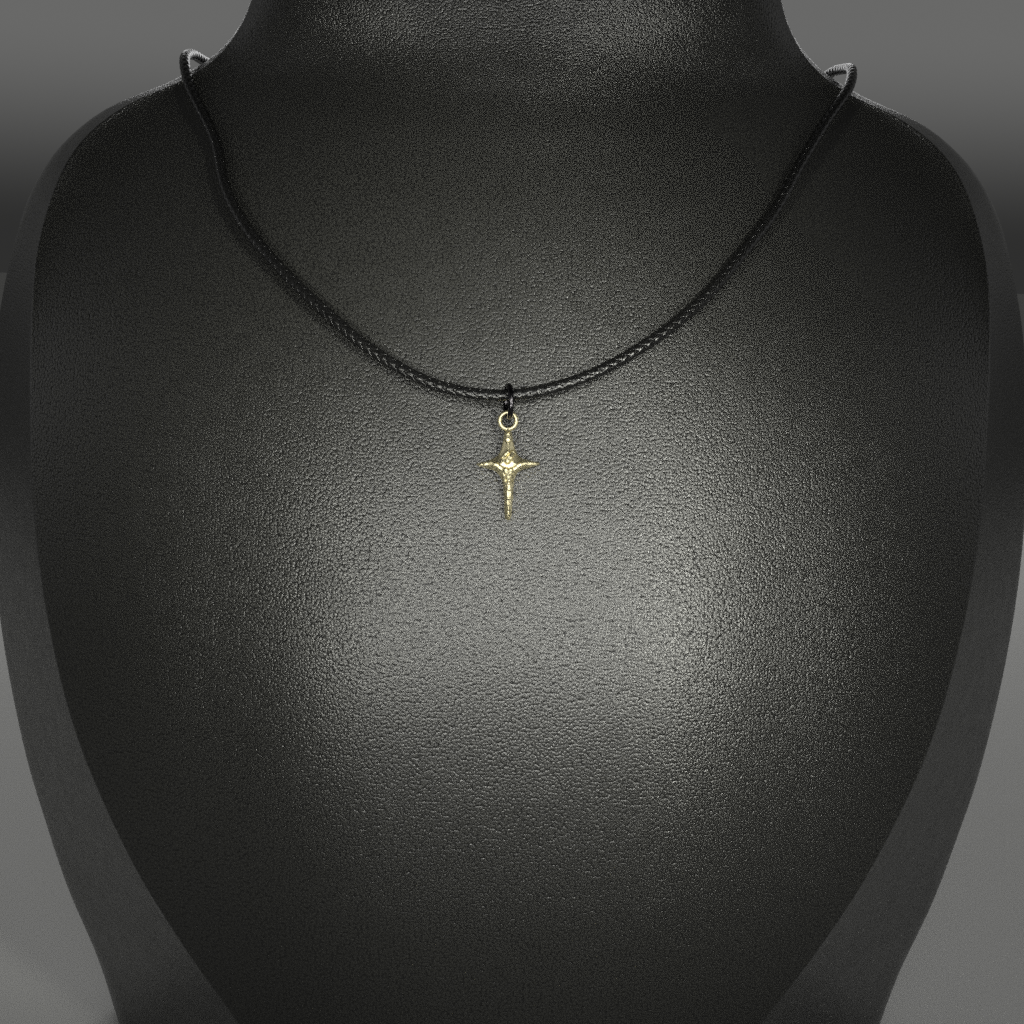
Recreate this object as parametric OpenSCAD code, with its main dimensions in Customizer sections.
// Cross pendant on a braided cord, worn by a neck bust. Millimetres, Z up, front towards -Y.

/* [Bust] */
// Height of the bust from its base to the top of the neck
bust_h = 245; // [238:1:252]
// Width of the bust across the chest
bust_w = 210; // [204:1:216]
// Depth of the bust from its flat back to the fullest part of the chest
bust_d = 90.1; // [88.5:0.1:92.5]

/* [Cord] */
// Thickness of the round braided cord
cord_d = 2; // [1.8:0.1:2]

/* [Clasp] */
// Length of the barrel clasp at the nape
clasp_l = 13; // [11:0.5:14]
// Thickness of the barrel clasp
clasp_d = 4.4; // [3.6:0.2:4.4]

/* [Jump ring] */
// Width across the outside of the jump ring
ring_od = 6.1; // [6:0.05:6.2]
// Thickness of the jump ring's wire
ring_wire = 0.9; // [0.8:0.05:0.9]
// Turn of the jump ring to the side
ring_turn = 10; // [0:1:14]

/* [Pendant] */
// Height of the pendant from the top of its eyelet to its foot
pendant_h = 17.65; // [16.5:0.05:18]
// Width of the pendant across its arms
pendant_w = 10.13; // [9.5:0.01:10.6]
// Height of the figure's chest over the cross
relief_h = 1.25; // [0.9:0.05:1.4]
// Width across the eyelet
eyelet_od = 3.4; // [3.3:0.05:3.5]
// Thickness of the eyelet's wire
eyelet_wire = 0.75; // [0.65:0.05:0.8]

/* [Hidden] */
// Sizes that the tables below are written for
table_h = 245;
table_w = 210;
table_d = 90.1;
table_pendant_h = 17.65;
table_pendant_w = 10.13;
kx = bust_w / table_w;
ky = bust_d / table_d;
kz = bust_h / table_h;
// Place of the flat back, so that the origin is under the middle
back_y = 43;
// Space left between a piece and the leather under it
seat = 0.3;

// Bust sections from the base up. Every depth is measured forwards from the flat back.
// z       height of the section
// front   depth at the middle
// edge_w  half width of the front panel, and edge_d its depth there
// full    fullness of the front panel's curve
// hip_w   half width of the side, and hip_d its depth
// back_r  rounding of the back corner
// swell   rise of the chest on both sides of the middle
// columns: z, front, edge_w, edge_d, full, hip_w, hip_d, back_r, swell
BUST = [
    [0, 79, 29, 75.5, 1, 81.5, 18, 8, 0],
    [16, 82.5, 35, 77.4, 1, 86, 18, 8, 0.3],
    [32, 86, 44.6, 77.7, 1, 92, 18, 8, 0.8],
    [46, 88, 55, 75.4, 1, 96, 18, 8, 1.2],
    [60, 89.5, 64.3, 72.3, 1, 99.5, 18, 8, 1.5],
    [80, 90, 74.4, 67, 1, 102.8, 18, 8, 1.6],
    [100, 88.5, 80.6, 61.4, 1, 104.7, 18, 8, 1.5],
    [120, 84.5, 84.6, 54.7, 1, 105, 18, 8, 1],
    [136, 80, 86.2, 49.2, 1, 104, 18, 8, 0.5],
    [150, 75, 87.4, 43.2, 1.1, 102.2, 18, 8, 0.2],
    [162, 69.5, 88, 37, 1.3, 99.5, 18, 8, 0],
    [172, 64, 86.5, 32.5, 1.5, 96, 19, 8, 0],
    [180, 59, 83.5, 30, 1.7, 91, 20, 8, 0],
    [186, 55.5, 79, 28, 1.8, 85.3, 20, 9, 0],
    [191, 52.5, 72, 27, 1.8, 78, 20, 10, 0],
    [195.5, 50.3, 62, 26.5, 1.5, 67, 20, 11, 0],
    [200, 48.5, 55.5, 27, 1.1, 59, 20, 12, 0],
    [206, 47, 51, 28, 0.7, 53, 20, 13, 0],
    [214, 45.7, 48.3, 28, 0.5, 49.3, 20, 14, 0],
    [224, 44.5, 46.8, 28, 0.5, 47.6, 20, 14, 0],
    [236, 43.5, 46, 28, 0.5, 46.8, 20, 14, 0],
    [242, 43, 45.6, 28, 0.5, 46.4, 20, 14, 0]];
// Distance from the middle over which the chest swells and falls again
swell_w = 52;
// Roundings of the front panel's crease and of the side
crease_r = 3;
side_r = 14;
// Largest share of an edge that a rounding takes, and the back's run past its corner
edge_share = 0.45;
back_run = 30;
// Steps of the front panel's half and of each rounding
front_steps = 11;
round_steps = 4;
// Rounded ends: height from the end, and scale of the section there
BASE_END = [[0, 0.985], [1.5, 1]];
NECK_END = [[1.8, 0.985], [3, 0.94]];
base_mid = 40;
neck_mid = 21.5;

// Route of the cord's middle line from the clasp round the neck and back
ROUTE = [
    [16, 44.5, 163.5], [28, 44.5, 166], [40, 44.5, 170.5], [50, 44.5, 177],
    [56.5, 44.5, 186], [59.5, 45, 194], [61, 42, 199], [62.5, 36, 201],
    [63.5, 28, 201], [63.5, 20, 200], [61.5, 12, 196], [56, 4, 189],
    [50.5, -3.5, 181], [45.5, -10.5, 173], [39.5, -18, 166], [31.5, -26, 157.5],
    [22, -32.5, 150.5], [11, -37, 145], [0, -38.5, 142.5], [-11, -36.5, 143.5],
    [-22, -32.5, 148.5], [-31, -27.5, 155], [-39.5, -20.5, 162], [-46, -14, 168.5],
    [-50.5, -7, 175], [-54, 1.5, 184], [-60, 10.5, 193.5], [-62.5, 18, 199],
    [-63, 26, 201], [-62.5, 34, 201], [-61, 41.5, 199.5], [-59.5, 45, 194],
    [-56.5, 44.5, 186], [-50, 44.5, 177], [-40, 44.5, 170.5], [-28, 44.5, 166],
    [-16, 44.5, 163.5]];
// Height of the clasp, and the sides and steps of the cord's tube
clasp_z = 163;
cord_sides = 8;
cord_steps = 2;

// Pendant outline down from the eyelet's middle
// drop   distance below the eyelet's middle
// left   half width towards -X, and right towards +X
// dome   height of the cross over the plane of its rim
// columns: drop, left, right, dome
CROSS = [
    [1.3, 0.25, 0.25, 0.2],
    [1.6, 0.42, 0.42, 0.32],
    [2.1, 0.62, 0.62, 0.42],
    [3, 0.78, 0.78, 0.46],
    [3.7, 0.91, 0.91, 0.5],
    [4.6, 1.17, 1.17, 0.52],
    [5.2, 1.43, 1.43, 0.54],
    [5.7, 1.8, 1.77, 0.54],
    [6, 2.4, 2.2, 0.52],
    [6.25, 3.15, 3.2, 0.5],
    [6.45, 3.95, 4.4, 0.46],
    [6.65, 4.75, 5.05, 0.42],
    [6.85, 5.05, 5.02, 0.42],
    [7.05, 4.85, 4.75, 0.44],
    [7.3, 4.2, 3.95, 0.48],
    [7.6, 3.45, 3.05, 0.52],
    [8, 2.25, 2.05, 0.56],
    [8.4, 1.68, 1.5, 0.58],
    [8.8, 1.38, 1.22, 0.58],
    [9.6, 0.92, 0.98, 0.56],
    [10.6, 0.76, 0.86, 0.52],
    [12, 0.66, 0.82, 0.48],
    [13.4, 0.62, 0.64, 0.44],
    [14.8, 0.58, 0.55, 0.4],
    [15.5, 0.48, 0.46, 0.36],
    [15.85, 0.28, 0.26, 0.3],
    [15.95, 0.1, 0.1, 0.24]];
// Steps between the rows of the table, finer where the arms run
CROSS_STEPS = [[1.3, 0.3], [5.5, 0.1], [8.6, 0.25], [15.55, 0.1]];
cross_end = 15.95;
// Rim: half its thickness, and the rise of the back's middle
rim = 0.2;
back_rise = 0.14;
// Columns of one half: inner ones over the figure, outer ones to the rim, and on the back
inner_cols = 8;
outer_cols = 6;
inner_w = 1.6;
back_cols = 3;
// Most of a narrow row that the inner columns take
inner_share = 0.8;
// How fast the relief fades at the rim, and how round a ridge's top is
rim_fade = 4;
ridge_round = 0.7;

// Relief raised on the cross as tapering ridges with round tops: the stem's two ribs, then
// the figure's head and hair, its arms, trunk, cloth, legs and feet
// columns: x, drop, half width, height at the start, then the same at the end
RELIEF = [
    [-0.26, 1.75, 0.2, 0.12, -0.3, 3.1, 0.3, 0.24],
    [0.26, 1.75, 0.2, 0.12, 0.3, 3.1, 0.3, 0.24],
    [1, 5.1, 0.5, 0.75, 0.4, 5.85, 0.6, 1],
    [0.4, 5.85, 0.6, 1, -0.4, 6.75, 0.45, 0.8],
    [0.9, 5, 0.5, 0.55, 0.2, 4.75, 0.4, 0.45],
    [0.1, 4.7, 0.35, 0.4, -0.4, 5.1, 0.35, 0.45],
    [-0.5, 5, 0.3, 0.4, -1.2, 5.6, 0.35, 0.4],
    [-4.75, 6.85, 0.3, 0.4, -3.1, 6.6, 0.4, 0.55],
    [-3.1, 6.6, 0.4, 0.55, -2.2, 6.8, 0.42, 0.6],
    [-2.2, 6.8, 0.42, 0.6, -1, 7.4, 0.5, 0.75],
    [4.8, 6.5, 0.32, 0.4, 3.3, 6.45, 0.42, 0.6],
    [3.3, 6.45, 0.42, 0.6, 2.1, 6.75, 0.42, 0.62],
    [2.1, 6.75, 0.42, 0.62, 0.9, 7.45, 0.5, 0.75],
    [-0.45, 7.6, 0.62, 0.85, -0.35, 8.7, 0.5, 0.8],
    [0.55, 7.6, 0.55, 0.8, 0.4, 8.7, 0.48, 0.75],
    [0.05, 7.5, 0.5, 0.9, 0.05, 9.6, 0.5, 0.65],
    [0.05, 9.6, 0.5, 0.6, 0, 10.7, 0.62, 0.78],
    [0, 10.7, 0.62, 0.78, 0.12, 11.5, 0.48, 0.68],
    [-0.12, 11.3, 0.36, 0.6, -0.08, 12.9, 0.32, 0.7],
    [0.22, 11.3, 0.36, 0.62, 0.2, 12.9, 0.32, 0.72],
    [0.06, 12.9, 0.36, 0.66, 0.02, 14.5, 0.3, 0.45],
    [0.02, 14.5, 0.3, 0.45, 0, 15.2, 0.32, 0.58]];

// Shared curves and skins
function slope(table, i) =
    let (lo = max(i - 1, 0), hi = min(i + 1, len(table) - 1))
    (table[hi] - table[lo]) / (table[hi][0] - table[lo][0]);
function row_at(table, key, k = 0) =
    k < len(table) - 2 && key > table[k + 1][0] ? row_at(table, key, k + 1)
    : let (a = table[k], b = table[k + 1], h = b[0] - a[0], t = (key - a[0]) / h,
           t2 = t * t, t3 = t2 * t)
      (2 * t3 - 3 * t2 + 1) * a + (t3 - 2 * t2 + t) * h * slope(table, k)
      + (3 * t2 - 2 * t3) * b + (t3 - t2) * h * slope(table, k + 1);
function flat_list(lists) = [for (list = lists) for (item = list) item];
function unit(v) = v / norm(v);
module skin(rings) {
    n = len(rings[0]);
    last = len(rings) - 1;
    sides = [for (i = [0 : last - 1]) for (j = [0 : n - 1])
        let (a = i * n + j, b = i * n + (j + 1) % n) each [[a, a + n, b + n], [a, b + n, b]]];
    start_cap = [for (j = [0 : n - 1]) j];
    end_cap = [for (j = [n - 1 : -1 : 0]) last * n + j];
    polyhedron(points = flat_list(rings), faces = concat(sides, [start_cap, end_cap]));
}

// Bust sections
function front_depth(row, x) =
    let (t = min(abs(x) / row[2], 1), s = 1 - pow(1 - t * t, row[4]))
    row[1] + (row[3] - row[1]) * s + row[8] * pow(sin(180 * min(abs(x) / swell_w, 1)), 2);
function rounded(p, corner, q, r) =
    let (c = min(r, edge_share * norm(p - corner), edge_share * norm(q - corner)),
         a = corner + unit(p - corner) * c, b = corner + unit(q - corner) * c)
    [for (i = [0 : round_steps - 1]) let (t = i / (round_steps - 1))
        (1 - t) * (1 - t) * a + 2 * t * (1 - t) * corner + t * t * b];
function half_section(row) =
    let (panel = [for (i = [0 : front_steps - 1])
             let (x = row[2] * sin(90 * i / front_steps)) [x, front_depth(row, x)]],
         crease = [row[2], row[3]], side = [row[5], row[6]],
         corner = [row[5], 0], inward = [row[5] - back_run, 0])
    concat(panel,
        rounded(panel[front_steps - 1], crease, side, crease_r),
        rounded(crease, side, corner, side_r),
        rounded(side, corner, inward, row[7]));
function bust_ring(row, z, scale_by = 1, middle = 0) =
    let (half = half_section(row), n = len(half),
         loop = concat(half, [for (i = [n - 1 : -1 : 1]) [-half[i][0], half[i][1]]]))
    [for (p = loop)
        [kx * p[0] * scale_by, back_y - ky * (middle + (p[1] - middle) * scale_by), kz * z]];
bust_top = BUST[len(BUST) - 1][0];
bust_levels = flat_list([for (i = [0 : len(BUST) - 2])
    [BUST[i][0], (BUST[i][0] + BUST[i + 1][0]) / 2]]);
function leather_y(z) = back_y - ky * row_at(BUST, z / kz)[1];

// Cord sections
function bent(a, b, c, d) =
    let (ta = sqrt(norm(b - a)), tb = sqrt(norm(c - b)), tc = sqrt(norm(d - c)))
    [(c - b) + tb * ((b - a) / ta - (c - a) / (ta + tb)),
     (c - b) + tb * ((d - c) / tc - (d - b) / (tb + tc))];
function spline_point(p, i, t) =
    let (last = len(p) - 1, b = p[i], c = p[i + 1],
         a = i > 0 ? p[i - 1] : 2 * b - c, d = i < last - 1 ? p[i + 2] : 2 * c - b,
         m = bent(a, b, c, d), t2 = t * t, t3 = t2 * t)
    (2 * t3 - 3 * t2 + 1) * b + (t3 - 2 * t2 + t) * m[0]
    + (3 * t2 - 2 * t3) * c + (t3 - t2) * m[1];
clasp_at = [0, back_y + seat + clasp_d / 2, clasp_z * kz];
cord_route = concat([clasp_at + [clasp_l / 2, 0, 0]],
    [for (p = ROUTE) [p[0] * kx, back_y + (p[1] - back_y) * ky, p[2] * kz]],
    [clasp_at - [clasp_l / 2, 0, 0]]);
cord_line = concat(
    [for (i = [0 : len(cord_route) - 2]) for (s = [0 : cord_steps - 1])
        spline_point(cord_route, i, s / cord_steps)],
    [cord_route[len(cord_route) - 1]]);
function cord_way(i) = i == 0 || i == len(cord_line) - 1 ? [1, 0, 0]
    : unit(cord_line[i + 1] - cord_line[i - 1]);
function cord_ring(i) =
    let (way = cord_way(i), out = [cord_line[i][0], cord_line[i][1] - neck_mid, 0],
         a = unit(cross(way, out)), b = cross(way, a))
    [for (j = [0 : cord_sides - 1]) let (turn = 360 * (j + 0.5) / cord_sides)
        cord_line[i] + cord_d / 2 * (cos(turn) * a + sin(turn) * b)];

// Places of the jump ring and the pendant, from the cord's lowest point
low_point = [for (p = ROUTE) if (p[0] == 0) p][0];
ring_r = (ring_od - ring_wire) / 2;
eyelet_r = (eyelet_od - eyelet_wire) / 2;
cord_low = [0, back_y + (low_point[1] - back_y) * ky, low_point[2] * kz];
ring_hang = [0, -0.2, -1.05];
ring_at = cord_low + ring_hang;
link_gap = 0.08;
eyelet_at = ring_at + [0, 0, (ring_wire + eyelet_wire) / 2 + link_gap - ring_r - eyelet_r];
pendant_drop = cross_end * pendant_h / table_pendant_h;
foot_gap = 0.5;
foot_y = leather_y(eyelet_at[2] - pendant_drop) - foot_gap;
pendant_tilt = asin((eyelet_at[1] - foot_y) / pendant_drop);
// Lean that sets the pendant plumb in the view
pendant_lean = -1.2;

// Pendant sections
px = pendant_w / table_pendant_w;
pz = pendant_h / table_pendant_h;
function ridge(f, x, drop) =
    let (run = [f[4] - f[0], f[5] - f[1]], from = [x - f[0], drop - f[1]],
         t = max(0, min(1, (from * run) / (run * run))),
         away = norm(from - t * run) / (f[2] + (f[6] - f[2]) * t))
    away >= 1 ? 0 : (f[3] + (f[7] - f[3]) * t) * pow(1 - away * away, ridge_round);
function relief(x, drop) = relief_h * max([for (f = RELIEF) ridge(f, x, drop)]);
function column(k, w) =
    let (w_in = min(inner_w, inner_share * w))
    k <= inner_cols ? w_in * k / inner_cols
    : w_in + (w - w_in) * sin(90 * (k - inner_cols) / outer_cols);
half_cols = inner_cols + outer_cols;
function cross_front(row, x) =
    let (w = x < 0 ? row[1] : row[2], u = min(abs(x) / w, 1), bow = sqrt(1 - u * u))
    rim + (row[3] - rim) * bow + relief(x, row[0]) * min(1, rim_fade * (1 - u));
function cross_ring(row) =
    let (front = [for (k = [-half_cols : half_cols])
             let (x = k < 0 ? -column(-k, row[1]) : column(k, row[2]))
             [px * x, -cross_front(row, x), -pz * row[0]]],
         back = [for (k = [back_cols : -1 : -back_cols])
             let (u = sin(90 * k / (back_cols + 1)), w = k < 0 ? row[1] : row[2])
             [px * u * w, rim + back_rise * (1 - u * u), -pz * row[0]]],
         edge_r = [px * row[2], rim, -pz * row[0]], edge_l = [-px * row[1], rim, -pz * row[0]])
    concat(front, [edge_r], back, [edge_l]);
cross_drops = concat(
    flat_list([for (i = [0 : len(CROSS_STEPS) - 1])
        let (to = i < len(CROSS_STEPS) - 1 ? CROSS_STEPS[i + 1][0] : cross_end)
        [for (drop = [CROSS_STEPS[i][0] : CROSS_STEPS[i][1] : to - 0.01]) drop]]),
    [cross_end]);

module bust() {
    color([0.05, 0.05, 0.05])
    skin(concat(
        [for (e = BASE_END) bust_ring(row_at(BUST, e[0]), e[0], e[1], base_mid)],
        [for (i = [1 : len(bust_levels) - 1])
            bust_ring(row_at(BUST, bust_levels[i]), bust_levels[i])],
        [bust_ring(row_at(BUST, bust_top), bust_top)],
        [for (e = NECK_END) bust_ring(row_at(BUST, bust_top), bust_top + e[0], e[1], neck_mid)]));
}

module cord() {
    color([0.06, 0.06, 0.06])
    skin([for (i = [0 : len(cord_line) - 1]) cord_ring(i)]);
}

module clasp() {
    r = clasp_d / 2;
    half = clasp_l / 2;
    bevel = 0.5;
    groove = 0.2;
    color([0.1, 0.1, 0.11])
    translate(clasp_at) rotate([0, 90, 0])
    rotate_extrude($fn = 48)
    polygon([[0, -half], [r - bevel, -half], [r, bevel - half], [r, -groove], [r - groove, 0],
        [r, groove], [r, half - bevel], [r - bevel, half], [0, half]]);
}

module jump_ring() {
    color([0.12, 0.12, 0.13])
    translate(ring_at) rotate([0, 0, ring_turn]) rotate([0, 90, 0])
    rotate_extrude($fn = 64) translate([ring_r, 0]) circle(d = ring_wire, $fn = 16);
}

module cross_pendant() {
    color([0.86, 0.76, 0.42])
    translate(eyelet_at) rotate([0, pendant_lean, 0]) rotate([-pendant_tilt, 0, 0])
    union() {
        rotate([90, 0, 0])
        rotate_extrude($fn = 48) translate([eyelet_r, 0]) circle(d = eyelet_wire, $fn = 16);
        skin([for (i = [len(cross_drops) - 1 : -1 : 0]) cross_ring(row_at(CROSS, cross_drops[i]))]);
    }
}

bust();
cord();
clasp();
jump_ring();
cross_pendant();
